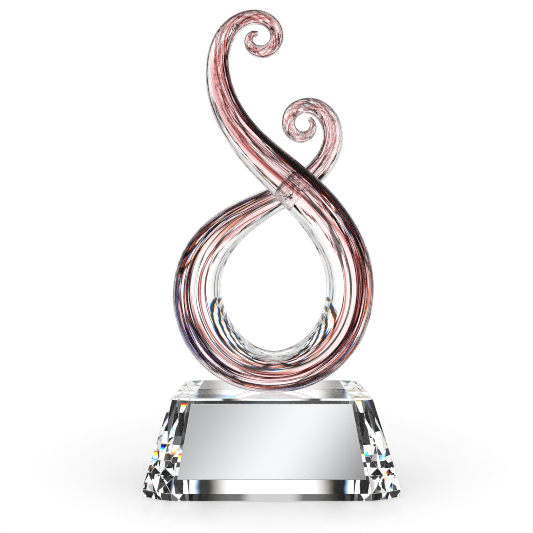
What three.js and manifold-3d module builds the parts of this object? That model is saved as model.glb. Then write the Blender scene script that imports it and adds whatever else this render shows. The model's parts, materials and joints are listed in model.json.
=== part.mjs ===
// Art glass award: one tapering rod of clear glass, laced with colour canes, bent into an open loop with a
// curl at each end, and bonded by its ground foot to a cut crystal base that carries a bare silver plate.
// Millimetres, +Z up, +X to the viewer's right, +Y away from the viewer.
// The origin is the middle of the base's underside.

import * as THREE from 'three';
import { mergeVertices } from 'three/addons/utils/BufferGeometryUtils.js';
import Module from 'manifold-3d';

const wasm = await Module();
wasm.setup();

// Crystal base: a frustum with two narrow facets across each corner
const BASE_WIDTH = 152;
const BASE_DEPTH = 94;
const BASE_HEIGHT = 57;
const TOP_WIDTH = 121;
const TOP_DEPTH = 72;
const FRONT_WIDTH_LOW = 115;
const FRONT_WIDTH_HIGH = 98;
const NEAR_FACET_LOW = 9;
const NEAR_FACET_HIGH = 6.8;
const NEAR_FACET_SETBACK = 2.8;
const CORNER_SETBACK = 8.5;
const TOP_BEVEL_HEIGHT = 1.2;
const TOP_BEVEL_LEAN = 45;
const BOTTOM_BEVEL_HEIGHT = 4.5;
const BOTTOM_BEVEL_LEAN = 14;

// Silver plate on the front facet, and the tape that holds it
const PLATE_THICKNESS = 0.8;
const PLATE_SIDE_MARGIN = 2;
const PLATE_TOP_MARGIN = 1.8;
const PLATE_BOTTOM_MARGIN = 7.8;
const TAPE_THICKNESS = 0.3;
const TAPE_INSET = 1.5;
const TAPE_CLEARANCE = 0.2;

// Glass rod: both limbs leave the foot level, one to each side
const FOOT_DIAMETER = 26;
const FRONT_LIMB_DIAMETER = 29.5;
const BACK_LIMB_DIAMETER = 32;
const FOOT_BEND = 13;
const FOOT_GRIND = 1.2;
const FOOT_OFFSET = 1;
const FOOT_FORWARD = 8;
const BOND_THICKNESS = 0.3;
const CROSSING_GAP = 0.5;
const FRONT_LEAN = 4;
const TIP_ROUNDING = 1;
const TIP_FLAT_SHARE = 0.6;

// Stations of each limb, from the foot to the tip: the run from the station before, counted in pitches, the
// bend there in degrees of turn per pitch, positive round the loop, the taper as a share of the limb's
// diameter, and how far the colour has wound round the rod by then, in degrees.
const ROUTE_PITCH = 10;
const FRONT_LIMB = [
  { run: 5, bend: 11, taper: 1, wind: 0 },
  { run: 5, bend: 8.5, taper: 1, wind: 0 },
  { run: 5, bend: 2.5, taper: 0.915, wind: -10 },
  { run: 5, bend: -6, taper: 0.71, wind: 0 },
  { run: 5, bend: -11, taper: 0.49, wind: 30 },
  { run: 3.5, bend: -29.5, taper: 0.31, wind: 150 },
  { run: 2.5, bend: -56, taper: 0.29, wind: 190 },
  { run: 2, bend: -66, taper: 0.24, wind: 240 },
  { run: 1.4, bend: -161, taper: 0.11, wind: 270 },
];
const BACK_LIMB = [
  { run: 5, bend: 10.5, taper: 1, wind: 0 },
  { run: 5, bend: 12, taper: 0.89, wind: 0 },
  { run: 6, bend: 0.5, taper: 0.53, wind: 0 },
  { run: 4, bend: -13.5, taper: 0.45, wind: 10 },
  { run: 3, bend: -27, taper: 0.4, wind: 30 },
  { run: 2.5, bend: -45, taper: 0.31, wind: 90 },
  { run: 2.5, bend: -68, taper: 0.25, wind: 210 },
  { run: 1.9, bend: -93, taper: 0.095, wind: 300 },
];

// Colour canes, as shares of the rod's radius, side by side round the loop's outer side
const CANE_COUNT = 8;
const CANE_SPREAD = 220;
const CANE_FILL = 0.6;
const CANE_OUTER_SHARE = 0.64;
const CANE_THICKNESS_SHARE = 0.16;
const CANE_STAGGER_SHARE = 0.07;
const CANE_CLEARANCE_SHARE = 0.02;

// Facets of the rod
const ROD_SIDES = 16;
const STATION_TURN = 18;
const STATION_RUN = 12;
const ROUTE_STEP = 0.5;

const rad = THREE.MathUtils.degToRad;
const { lerp, smoothstep } = THREE.MathUtils;

// Finishes

const clearGlass = new THREE.MeshStandardMaterial({
  color: 0xf3f6f7, roughness: 0.03, metalness: 0, transparent: true, opacity: 0.35,
});
const crystal = new THREE.MeshStandardMaterial({
  color: 0xf7fafb, roughness: 0.02, metalness: 0, transparent: true, opacity: 0.4,
});
const silver = new THREE.MeshStandardMaterial({ color: 0xc9cbce, roughness: 0.3, metalness: 1 });
const tape = new THREE.MeshStandardMaterial({ color: 0xdedede, roughness: 0.6, metalness: 0 });
const bond = new THREE.MeshStandardMaterial({
  color: 0xf5f5f0, roughness: 0.1, metalness: 0, transparent: true, opacity: 0.5,
});
const CANE_COLOURS = [0x6b1f2b, 0xa9525c, 0x84303b, 0xd59a9c];
const caneGlass = CANE_COLOURS.map((color) => new THREE.MeshStandardMaterial({
  color, roughness: 0.05, metalness: 0,
}));

// Cutting and joining

function toSolid(geometry) {
  const bare = geometry.clone();
  bare.deleteAttribute('normal');
  bare.deleteAttribute('uv');
  const merged = mergeVertices(bare);
  return new wasm.Manifold(new wasm.Mesh({
    numProp: 3,
    vertProperties: new Float32Array(merged.attributes.position.array),
    triVerts: new Uint32Array(merged.index.array),
  }));
}

function toGeometry(solid) {
  const { vertProperties, triVerts } = solid.getMesh();
  const geometry = new THREE.BufferGeometry();
  geometry.setAttribute('position', new THREE.BufferAttribute(vertProperties, 3));
  geometry.setIndex(new THREE.BufferAttribute(triVerts, 1));
  const flat = geometry.toNonIndexed();
  flat.computeVertexNormals();
  return flat;
}

function part(name, geometry, material) {
  const mesh = new THREE.Mesh(geometry, material);
  mesh.name = name;
  return mesh;
}

// Crystal base, ground from a block one facet at a time

const baseLow = BOTTOM_BEVEL_HEIGHT;
const baseHigh = BASE_HEIGHT - TOP_BEVEL_HEIGHT;
const baseMiddle = new THREE.Vector3(0, 0, BASE_HEIGHT / 2);

function outward(plane) {
  return plane.distanceToPoint(baseMiddle) > 0 ? plane.negate() : plane;
}

function facetThrough(a, b, c) {
  return outward(new THREE.Plane().setFromCoplanarPoints(a, b, c));
}

// The depth at which a facet of the front right corner lies, at a given width and height.
function facetDepth(plane, x, z) {
  return -(plane.constant + plane.normal.x * x + plane.normal.z * z) / plane.normal.y;
}

function cornerFacets() {
  const front = -BASE_DEPTH / 2;
  const edgeLow = new THREE.Vector3(FRONT_WIDTH_LOW / 2, front, baseLow);
  const edgeHigh = new THREE.Vector3(FRONT_WIDTH_HIGH / 2, -TOP_DEPTH / 2, baseHigh);
  const ridgeLow = new THREE.Vector3(edgeLow.x + NEAR_FACET_LOW, front + NEAR_FACET_SETBACK, baseLow);
  const near = facetThrough(edgeLow, edgeHigh, ridgeLow);
  const ridgeHighX = edgeHigh.x + NEAR_FACET_HIGH;
  const ridgeHigh = new THREE.Vector3(ridgeHighX, facetDepth(near, ridgeHighX, baseHigh), baseHigh);
  const cornerLow = new THREE.Vector3(BASE_WIDTH / 2, front + CORNER_SETBACK, baseLow);
  const far = facetThrough(ridgeLow, ridgeHigh, cornerLow);
  const face = facetThrough(edgeLow, edgeHigh, new THREE.Vector3(0, front, baseLow));
  const side = facetThrough(
    new THREE.Vector3(BASE_WIDTH / 2, 0, baseLow),
    new THREE.Vector3(TOP_WIDTH / 2, 0, baseHigh),
    new THREE.Vector3(BASE_WIDTH / 2, front, baseLow),
  );
  return [face, near, far, side];
}

function mirrored(plane, x, y) {
  const { normal, constant } = plane;
  return new THREE.Plane(new THREE.Vector3(normal.x * x, normal.y * y, normal.z), constant);
}

// A bevel along a facet's edge at one height, leaning from the vertical by the given angle.
function bevel(facet, height, lean, up) {
  const { normal, constant } = facet;
  const level = Math.hypot(normal.x, normal.y);
  const way = new THREE.Vector3(normal.x / level, normal.y / level, 0);
  const edge = way.clone().multiplyScalar(-(constant + normal.z * height) / level).setZ(height);
  const tilted = way.multiplyScalar(Math.cos(rad(lean))).setZ(up * Math.sin(rad(lean)));
  return new THREE.Plane().setFromNormalAndCoplanarPoint(tilted, edge);
}

function grind(solid, plane) {
  const reach = 2 * (BASE_WIDTH + BASE_DEPTH + BASE_HEIGHT);
  const wheel = new THREE.BoxGeometry(reach, reach, reach).translate(0, 0, reach / 2);
  wheel.applyQuaternion(new THREE.Quaternion().setFromUnitVectors(new THREE.Vector3(0, 0, 1), plane.normal));
  wheel.translate(...plane.coplanarPoint(new THREE.Vector3()).toArray());
  return solid.subtract(toSolid(wheel));
}

function crystalBase() {
  const quarter = cornerFacets();
  const facets = [[1, 1], [-1, 1], [1, -1], [-1, -1]]
    .flatMap(([x, y]) => quarter.map((plane) => mirrored(plane, x, y)));
  const bevels = facets.flatMap((plane) => [
    bevel(plane, baseHigh, TOP_BEVEL_LEAN, 1),
    bevel(plane, baseLow, BOTTOM_BEVEL_LEAN, -1),
  ]);
  const blank = new THREE.BoxGeometry(2 * BASE_WIDTH, 2 * BASE_DEPTH, BASE_HEIGHT);
  const block = toSolid(blank.translate(0, 0, BASE_HEIGHT / 2));
  return toGeometry([...facets, ...bevels].reduce(grind, block));
}

// Silver plate and its tape, laid out on the front facet: u along it, v up its slope

const facetRun = (BASE_DEPTH - TOP_DEPTH) / 2;
const facetRise = baseHigh - baseLow;
const facetSlope = Math.hypot(facetRun, facetRise);

function facetPanel(inset, thickness) {
  const low = PLATE_BOTTOM_MARGIN + inset;
  const high = facetSlope - PLATE_TOP_MARGIN - inset;
  const facetWidth = (v) => lerp(FRONT_WIDTH_LOW, FRONT_WIDTH_HIGH, v / facetSlope);
  const half = (v) => facetWidth(v) / 2 - PLATE_SIDE_MARGIN - inset;
  const outline = new THREE.Shape([
    new THREE.Vector2(-half(low), low),
    new THREE.Vector2(half(low), low),
    new THREE.Vector2(half(high), high),
    new THREE.Vector2(-half(high), high),
  ]);
  return new THREE.ExtrudeGeometry(outline, { depth: thickness, bevelEnabled: false });
}

function frontPanel() {
  const group = new THREE.Group();
  group.position.set(0, -BASE_DEPTH / 2, baseLow);
  group.rotation.x = Math.atan2(facetRise, facetRun);
  const film = part('plate_tape', facetPanel(TAPE_INSET, TAPE_THICKNESS), tape);
  film.position.z = TAPE_CLEARANCE;
  const plate = part('engraving_plate', facetPanel(0, PLATE_THICKNESS), silver);
  plate.position.z = TAPE_THICKNESS + 2 * TAPE_CLEARANCE;
  group.add(film, plate);
  return group;
}

// Route of the rod, walked out from the foot along each limb

const footHeight = BASE_HEIGHT + BOND_THICKNESS;
const footCentre = footHeight - FOOT_GRIND + FOOT_DIAMETER / 2;

// A smooth reading between stations of one column of a limb, with level or drawn-through tangents.
function reader(stations, column) {
  const slope = (i) => {
    const a = stations[Math.max(i - 1, 0)];
    const b = stations[Math.min(i + 1, stations.length - 1)];
    return (b[column] - a[column]) / (b.at - a.at);
  };
  return (s) => {
    const i = Math.max(stations.findIndex((station) => station.at >= s), 1);
    const [a, b] = [stations[i - 1], stations[i]];
    const run = b.at - a.at;
    const t = (s - a.at) / run;
    const ease = t * t * (3 - 2 * t);
    const pull = run * (slope(i - 1) * t * (1 - t) ** 2 - slope(i) * t * t * (1 - t));
    return lerp(a[column], b[column], ease) + pull;
  };
}

// Walks a limb in the XZ plane. The bend changes steadily from one station to the next.
function walkLimb(limb, thickest, side) {
  const stations = [{ at: 0, bend: FOOT_BEND, taper: FOOT_DIAMETER / thickest, wind: 0 }];
  for (const { run, ...station } of limb) {
    stations.push({ at: stations.at(-1).at + run * ROUTE_PITCH, ...station });
  }
  const taper = reader(stations, 'taper');
  const wind = reader(stations, 'wind');
  const points = [];
  let heading = 0;
  let [x, z] = [FOOT_OFFSET, footCentre];
  stations.slice(1).forEach((end, i) => {
    const start = stations[i];
    const steps = Math.ceil((end.at - start.at) / ROUTE_STEP);
    const run = (end.at - start.at) / steps;
    for (let k = 0; k < steps; k += 1) {
      const at = start.at + k * run;
      points.push({ at, x, z, heading, radius: taper(at) * thickest / 2, wind: rad(wind(at)) });
      const turn = rad(lerp(start.bend, end.bend, (k + 0.5) / steps)) * run / ROUTE_PITCH;
      x += side * run * Math.cos(heading + turn / 2);
      z += run * Math.sin(heading + turn / 2);
      heading += turn;
    }
  });
  const tip = stations.at(-1);
  points.push({ at: tip.at, x, z, heading, radius: tip.taper * thickest / 2, wind: rad(tip.wind) });
  return points;
}

// The two points, one on each limb and past the loop's sides, at which the limbs pass each other.
function findCrossing(front, back) {
  const climbing = (points) => points.filter(({ heading, at }) => at > 0 && heading > Math.PI / 2);
  let nearest = { gap: Infinity };
  for (const a of climbing(front)) {
    for (const b of climbing(back)) {
      const gap = Math.hypot(a.x - b.x, a.z - b.z);
      if (gap < nearest.gap) {
        nearest = { gap, front: a, back: b };
      }
    }
  }
  return nearest;
}

// Leans a limb out of the loop's plane until the crossing, and lets it run on level with that.
function leanLimb(points, crossing, lean) {
  for (const point of points) {
    point.y = lean * smoothstep(point.at, 0, crossing.at) - FOOT_FORWARD;
  }
}

// Keeps the points that the rod's facets need: one per STATION_TURN of bend and at most STATION_RUN apart.
function thin(points) {
  const kept = [points[0]];
  for (const point of points.slice(1, -1)) {
    const last = kept.at(-1);
    const turned = Math.abs(point.heading - last.heading);
    if (turned >= rad(STATION_TURN) || point.at - last.at >= STATION_RUN) {
      kept.push(point);
    }
  }
  const tip = points.at(-1);
  if (tip.at - kept.at(-1).at < STATION_RUN / 4 && kept.length > 1) {
    kept.pop();
  }
  return [...kept, tip];
}

// The fire-polished end of a limb: the rod draws in to a small flat.
function roundTip(points) {
  const tip = points.at(-1);
  const before = points.at(-2);
  const share = TIP_ROUNDING / Math.hypot(tip.x - before.x, tip.z - before.z);
  const beyond = (axis) => tip[axis] + (tip[axis] - before[axis]) * share;
  return { ...tip, x: beyond('x'), y: beyond('y'), z: beyond('z'), radius: tip.radius * TIP_FLAT_SHARE };
}

function rodRoute() {
  const front = walkLimb(FRONT_LIMB, FRONT_LIMB_DIAMETER, 1);
  const back = walkLimb(BACK_LIMB, BACK_LIMB_DIAMETER, -1);
  const crossing = findCrossing(front, back);
  const apart = crossing.front.radius + crossing.back.radius + CROSSING_GAP;
  leanLimb(front, crossing.front, -FRONT_LEAN);
  leanLimb(back, crossing.back, apart - FRONT_LEAN);
  const frontStations = [...thin(front), roundTip(front)].reverse();
  const backStations = [...thin(back), roundTip(back)];
  return [...frontStations, ...backStations.slice(1)];
}

// Places each station's section: `out` points to the loop's outer side, `across` completes the section.
function sectionFrames(route) {
  return route.map((station, i) => {
    const centre = new THREE.Vector3(station.x, station.y, station.z);
    const before = route[Math.max(i - 1, 0)];
    const after = route[Math.min(i + 1, route.length - 1)];
    const along = new THREE.Vector3(after.x - before.x, after.y - before.y, after.z - before.z).normalize();
    const out = new THREE.Vector3(-along.z, 0, along.x).normalize();
    return { ...station, centre, out, across: along.clone().cross(out) };
  });
}

// A closed solid swept through the frames. A section is an outline and its holes, in shares of the rod's
// radius, the outline running anticlockwise and the holes clockwise.
function sweep(frames, sectionAt) {
  const positions = [];
  const index = [];
  const sections = frames.map(sectionAt);
  const loops = ({ outline, holes }) => [outline, ...holes];
  const ringSize = loops(sections[0]).reduce((sum, loop) => sum + loop.length, 0);

  frames.forEach(({ centre, out, across, radius }, i) => {
    for (const point of loops(sections[i]).flat()) {
      positions.push(...centre.clone()
        .addScaledVector(out, point.x * radius)
        .addScaledVector(across, point.y * radius)
        .toArray());
    }
  });

  // A hole's quads are split the other way, so that what fills it has the very same facets.
  for (let i = 0; i + 1 < frames.length; i += 1) {
    let first = i * ringSize;
    loops(sections[i]).forEach((loop, hole) => {
      for (let k = 0; k < loop.length; k += 1) {
        const [a, b] = [first + k, first + ((k + 1) % loop.length)];
        const [c, d] = [b + ringSize, a + ringSize];
        index.push(...(hole ? [a, b, d, b, c, d] : [a, b, c, a, c, d]));
      }
      first += loop.length;
    });
  }

  const addCap = (i, facing) => {
    const { outline, holes } = sections[i];
    const points = [outline, ...holes].flat();
    for (const [a, b, c] of THREE.ShapeUtils.triangulateShape(outline, holes)) {
      const turn = THREE.ShapeUtils.area([points[a], points[b], points[c]]);
      const corners = turn * facing > 0 ? [a, b, c] : [a, c, b];
      index.push(...corners.map((corner) => i * ringSize + corner));
    }
  };
  addCap(0, -1);
  addCap(frames.length - 1, 1);

  const geometry = new THREE.BufferGeometry();
  geometry.setAttribute('position', new THREE.Float32BufferAttribute(positions, 3));
  geometry.setIndex(index);
  geometry.computeVertexNormals();
  return geometry;
}

const polar = (share, angle) => new THREE.Vector2(share * Math.cos(angle), share * Math.sin(angle));

const rodOutline = Array.from({ length: ROD_SIDES }, (_, k) => polar(1, 2 * Math.PI * k / ROD_SIDES));

// The four corners of a cane's section, widened on every side by a clearance.
function caneOutline(cane, wind, clearance) {
  const pitch = rad(CANE_SPREAD) / CANE_COUNT;
  const middle = wind + pitch * (cane - (CANE_COUNT - 1) / 2);
  const stagger = cane % 2 === 0 ? 0 : CANE_STAGGER_SHARE;
  const outer = CANE_OUTER_SHARE - stagger + clearance;
  const inner = CANE_OUTER_SHARE - stagger - CANE_THICKNESS_SHARE - clearance;
  const half = (share) => pitch * CANE_FILL / 2 + clearance / share;
  return [
    polar(inner, middle - half(inner)),
    polar(outer, middle - half(outer)),
    polar(outer, middle + half(outer)),
    polar(inner, middle + half(inner)),
  ];
}

const canes = Array.from({ length: CANE_COUNT }, (_, cane) => cane);

// The clear rod before its foot is ground, with a channel for each cane that runs out at both tips.
function rodBlank(frames) {
  return toSolid(sweep(frames, ({ wind }) => ({
    outline: rodOutline,
    holes: canes.map((cane) => caneOutline(cane, wind, CANE_CLEARANCE_SHARE).reverse()),
  })));
}

function colourCane(frames, cane) {
  return sweep(frames, ({ wind }) => ({ outline: caneOutline(cane, wind, 0), holes: [] }));
}

// A level slab wide enough to take the whole foot
function slab(low, high) {
  const reach = 2 * (BASE_WIDTH + FOOT_DIAMETER);
  return toSolid(new THREE.BoxGeometry(reach, reach, high - low).translate(0, 0, (low + high) / 2));
}

// Assembly

function glassRod() {
  const group = new THREE.Group();
  const frames = sectionFrames(rodRoute());
  const blank = rodBlank(frames);
  group.add(part('glass_rod', toGeometry(blank.subtract(slab(0, footHeight))), clearGlass));
  group.add(part('foot_bond', toGeometry(blank.intersect(slab(BASE_HEIGHT, footHeight))), bond));
  for (const cane of canes) {
    const glass = caneGlass[cane % caneGlass.length];
    group.add(part(`colour_cane_${cane + 1}`, colourCane(frames, cane), glass));
  }
  return group;
}

const award = new THREE.Group();
award.add(part('crystal_base', crystalBase(), crystal), frontPanel(), glassRod());

export default award;
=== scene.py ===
"""Looks of an art glass award: a looped rod of clear glass, laced with colour, on a cut crystal base.

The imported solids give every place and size. The rod is swept again along the same route with a fine, round
surface, the colour canes are drawn out into the threads and veils that they stand for, and the base and its
plate get their polished edges. Metres, +Z up, -Y towards the viewer.
"""

from __future__ import annotations

import json
import logging
import math
import random
from collections.abc import Callable, Sequence
from dataclasses import dataclass, field
from enum import Enum

import bmesh
import bpy
from mathutils import Matrix, Vector

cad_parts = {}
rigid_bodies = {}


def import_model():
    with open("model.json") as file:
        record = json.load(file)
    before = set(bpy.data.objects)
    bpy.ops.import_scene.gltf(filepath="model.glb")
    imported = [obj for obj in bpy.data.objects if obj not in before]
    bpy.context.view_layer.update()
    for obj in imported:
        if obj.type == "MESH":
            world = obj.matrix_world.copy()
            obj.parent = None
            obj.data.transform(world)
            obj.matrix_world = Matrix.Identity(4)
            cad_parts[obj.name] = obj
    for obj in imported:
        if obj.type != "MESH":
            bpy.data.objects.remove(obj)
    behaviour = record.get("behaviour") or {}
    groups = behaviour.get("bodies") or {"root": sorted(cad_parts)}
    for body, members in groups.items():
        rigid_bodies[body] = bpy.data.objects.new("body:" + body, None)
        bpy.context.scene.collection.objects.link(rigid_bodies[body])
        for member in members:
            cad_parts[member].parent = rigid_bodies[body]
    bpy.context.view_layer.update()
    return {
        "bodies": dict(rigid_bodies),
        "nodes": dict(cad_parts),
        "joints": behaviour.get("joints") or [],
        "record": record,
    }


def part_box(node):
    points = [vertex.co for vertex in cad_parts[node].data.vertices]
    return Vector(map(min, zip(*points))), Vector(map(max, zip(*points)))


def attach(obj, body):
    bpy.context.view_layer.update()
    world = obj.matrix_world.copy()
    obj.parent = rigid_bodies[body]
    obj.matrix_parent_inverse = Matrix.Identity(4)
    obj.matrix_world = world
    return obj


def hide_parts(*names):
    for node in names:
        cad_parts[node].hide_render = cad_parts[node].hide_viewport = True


LOG = logging.getLogger("glass_award")

BODY = "root"
IMAGE_SIDE = 533.0
SENSOR_WIDTH = 36.0

# How close vertices are merged, how close to one a cut goes through it, and the turn between two faces
# that still count as one flat, in degrees.
MERGE_GAP = 1e-5
CUT_GAP = 1e-7
FLAT_TURN = 0.5

# The meshes' attributes: the run along the rod with the place round it, and the strength of the colour.
LAY = "lay"
DYE = "dye"

Colour = tuple[float, float, float]
Span = tuple[float, float]
Band = tuple[Span, Span]

WHITE: Colour = (1.0, 1.0, 1.0)


class Value:
    """A shader socket with arithmetic: every operator adds a Math node to its graph."""

    def __init__(self, graph: ShaderGraph, socket: bpy.types.NodeSocket) -> None:
        """Wraps an output socket of a graph."""
        self.graph = graph
        self.socket = socket

    def _math(self, operation: str, *operands: Operand) -> Value:
        """Adds one Math node.

        Args:
            operation: Blender's name of the operation.
            operands: numbers or values, in the node's order.

        Returns:
            The node's result.
        """
        inputs = dict(enumerate(operands))
        return self.graph.node("ShaderNodeMath", {"operation": operation}, inputs)

    def __add__(self, other: Operand) -> Value:
        """Sum of two values."""
        return self._math("ADD", self, other)

    __radd__ = __add__

    def __sub__(self, other: Operand) -> Value:
        """Difference of two values."""
        return self._math("SUBTRACT", self, other)

    def __rsub__(self, other: Operand) -> Value:
        """Difference from a number."""
        return self._math("SUBTRACT", other, self)

    def __mul__(self, other: Operand) -> Value:
        """Product of two values."""
        return self._math("MULTIPLY", self, other)

    __rmul__ = __mul__

    def cosine(self) -> Value:
        """Cosine of an angle in radians."""
        return self._math("COSINE", self)

    def rise(self, low: float, high: float) -> Value:
        """A smooth step from 0 at one value to 1 at another.

        Args:
            low: the value at which the step starts.
            high: the value at which it ends.

        Returns:
            The step.
        """
        settings = {"interpolation_type": "SMOOTHSTEP"}
        inputs = {"Value": self, "From Min": low, "From Max": high}
        return self.graph.node("ShaderNodeMapRange", settings, inputs)

    def band(self, edges: Band) -> Value:
        """A band with soft edges: 1 between the two edges and 0 outside them."""
        return self.rise(*edges[0]) - self.rise(*edges[1])

    def parts(self) -> list[Value]:
        """The three parts of a vector."""
        split = self.graph.node("ShaderNodeSeparateXYZ", None, {0: self}).socket.node
        return [Value(self.graph, socket) for socket in split.outputs]


Operand = Value | float


class ShaderGraph:
    """The node tree of one material or of the world."""

    def __init__(self, owner: bpy.types.Material | bpy.types.World) -> None:
        """Empties the owner's tree and takes it over."""
        owner.use_nodes = True
        self.tree = owner.node_tree
        self.tree.nodes.clear()

    def node(
        self,
        kind: str,
        settings: dict | None = None,
        inputs: dict | None = None,
        output: str | int = 0,
    ) -> Value:
        """Adds a node.

        Args:
            kind: Blender's type name of the node.
            settings: its properties, such as a Math node's operation, set before its sockets.
            inputs: a number, colour, vector or value for each socket, by name or index.
            output: the output socket that is handed back.

        Returns:
            That output.
        """
        made = self.tree.nodes.new(kind)
        for name, setting in (settings or {}).items():
            setattr(made, name, setting)
        for name, value in (inputs or {}).items():
            socket = made.inputs[name]
            if isinstance(value, Value):
                self.tree.links.new(value.socket, socket)
            else:
                socket.default_value = value
        return Value(self, made.outputs[output])

    def vector_math(self, operation: str, *operands: Value | Sequence[float]) -> Value:
        """Adds a Vector Math node and hands back its first output."""
        return self.node("ShaderNodeVectorMath", {"operation": operation}, dict(enumerate(operands)))

    def mix_shader(self, factor: Operand, first: Value, second: Value) -> Value:
        """Mixes two shaders."""
        return self.node("ShaderNodeMixShader", None, {0: factor, 1: first, 2: second})

    def see_through(self, colour: Colour) -> Value:
        """Adds a Transparent shader."""
        return self.node("ShaderNodeBsdfTransparent", None, {"Color": (*colour, 1.0)})

    def noise(self, place: Value, scale: float, detail: float) -> Value:
        """Adds a noise texture and hands back its height."""
        return self.node("ShaderNodeTexNoise", None, {"Vector": place, "Scale": scale, "Detail": detail})

    def attribute(self, name: str, output: str) -> Value:
        """Reads an attribute of the mesh."""
        return self.node("ShaderNodeAttribute", {"attribute_name": name}, output=output)

    def ray_is(self, kind: str) -> Value:
        """Tells whether a ray is of one of Light Path's kinds, such as Camera."""
        return self.node("ShaderNodeLightPath", output=f"Is {kind} Ray")

    def finish(self, shader: Value, kind: str = "ShaderNodeOutputMaterial") -> None:
        """Links a shader to the tree's output."""
        made = self.tree.nodes.new(kind)
        self.tree.links.new(shader.socket, made.inputs["Surface"])


def new_material(name: str) -> tuple[bpy.types.Material, ShaderGraph]:
    """Makes an empty material.

    Args:
        name: the material's name.

    Returns:
        The material and its graph.
    """
    material = bpy.data.materials.new(name)
    return material, ShaderGraph(material)


def clear_glass(graph: ShaderGraph, ior: float, tint: Colour, normal: Value) -> Value:
    """Adds the shader of clear, polished glass.

    Args:
        graph: the material's graph.
        ior: the index of refraction.
        tint: the colour of the glass.
        normal: the bumped normal.

    Returns:
        The shader.
    """
    inputs = {
        "Base Color": (*tint, 1.0),
        "Roughness": 0.0,
        "IOR": ior,
        "Transmission Weight": 1.0,
        "Normal": normal,
    }
    return graph.node("ShaderNodeBsdfPrincipled", None, inputs)


@dataclass(frozen=True)
class RodGlass:
    """Clear, fire-polished glass with the faint lengthwise cords that drawing it out leaves."""

    ior: float = 1.49
    tint: Colour = (0.99, 0.995, 0.995)
    cord_depth: float = 0.0006
    cord_strength: float = 0.3
    cord_pitch: float = 8.0
    cord_run: float = 1.6
    cord_detail: float = 1.2

    def material(self) -> bpy.types.Material:
        """Builds the glass.

        Returns:
            The material.
        """
        material, graph = new_material("clear_rod_glass")
        lay = graph.attribute(LAY, "Vector")
        stretch = (self.cord_run, self.cord_pitch, self.cord_pitch)
        stretched = graph.vector_math("MULTIPLY", lay, stretch)
        cords = graph.noise(stretched, 1.0, self.cord_detail)
        inputs = {"Strength": self.cord_strength, "Distance": self.cord_depth, "Height": cords}
        bump = graph.node("ShaderNodeBump", None, inputs)
        graph.finish(clear_glass(graph, self.ior, self.tint, bump))
        return material


@dataclass(frozen=True)
class CutCrystal:
    """Water-clear optical crystal, polished almost flat."""

    ior: float = 1.525
    tint: Colour = (0.99, 0.995, 0.995)
    wave_depth: float = 0.00003
    wave_scale: float = 60.0

    def material(self) -> bpy.types.Material:
        """Builds the crystal, with the faint waves that polishing leaves.

        Returns:
            The material.
        """
        material, graph = new_material("cut_crystal")
        place = graph.node("ShaderNodeTexCoord", output="Object")
        waves = graph.noise(place, self.wave_scale, 0.0)
        bump = graph.node("ShaderNodeBump", None, {"Distance": self.wave_depth, "Height": waves})
        graph.finish(clear_glass(graph, self.ior, self.tint, bump))
        return material


@dataclass(frozen=True)
class ColourGlass:
    """Coloured glass fused into the rod: it tints what passes through and bends nothing.

    Attributes:
        name: the material's name.
        tint: the colour of light that has crossed one face squarely.
        streak: how far the colour thins out between its streaks.
        soft: how far the colour fades from a ribbon's middle to its edges.
        fringes: the colours of a thread's two sides, if they differ from its middle.
        streak_detail: the fineness of the streaks.
        streak_edge: the heights of their noise at which a streak starts and is full.
        fringe_edge: how far from a thread's middle a fringe starts and is full, in half widths.
    """

    name: str
    tint: Colour
    streak: float
    soft: float = 0.0
    fringes: tuple[Colour, Colour] | None = None
    streak_detail: float = 2.0
    streak_edge: Span = (0.35, 0.6)
    fringe_edge: Span = (0.2, 0.6)

    def material(self) -> bpy.types.Material:
        """Builds the colour, which is paler towards a thread's edges, where light crosses less of it.

        Returns:
            The material.
        """
        material, graph = new_material(self.name)
        lay = graph.attribute(LAY, "Vector")
        dye = graph.attribute(DYE, "Fac")
        edge = graph.node("ShaderNodeLayerWeight", None, {"Blend": 0.5}, "Facing")
        noise = graph.noise(lay, 1.0, self.streak_detail)
        streaks = 1.0 - self.streak + self.streak * noise.rise(*self.streak_edge)
        _, across, inwards = lay.parts()
        soft = 1.0 - self.soft * across * across
        colour = graph.see_through(self.tint)
        if self.fringes:
            for fringe, side in zip(self.fringes, (inwards, 0.0 - inwards)):
                colour = graph.mix_shader(side.rise(*self.fringe_edge), colour, graph.see_through(fringe))
        body = (1.0 - edge) * streaks * dye * soft
        graph.finish(graph.mix_shader(body, graph.see_through(WHITE), colour))
        return material


@dataclass(frozen=True)
class SatinSilver:
    """Satin silver sheet with a faint lengthwise grain."""

    colour: Colour = (0.8, 0.805, 0.815)
    roughness: float = 0.2
    grain_run: float = 60.0
    grain_pitch: float = 4000.0
    grain_detail: float = 2.0
    grain_depth: float = 0.02

    def material(self) -> bpy.types.Material:
        """Builds the metal.

        Returns:
            The material.
        """
        material, graph = new_material("satin_silver")
        place = graph.node("ShaderNodeTexCoord", output="Object")
        stretch = (self.grain_run, self.grain_pitch, self.grain_pitch)
        stretched = graph.vector_math("MULTIPLY", place, stretch)
        grain = graph.noise(stretched, 1.0, self.grain_detail)
        inputs = {
            "Base Color": (*self.colour, 1.0),
            "Metallic": 1.0,
            "Roughness": self.roughness + (grain - 0.5) * self.grain_depth,
        }
        graph.finish(graph.node("ShaderNodeBsdfPrincipled", None, inputs))
        return material


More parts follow.
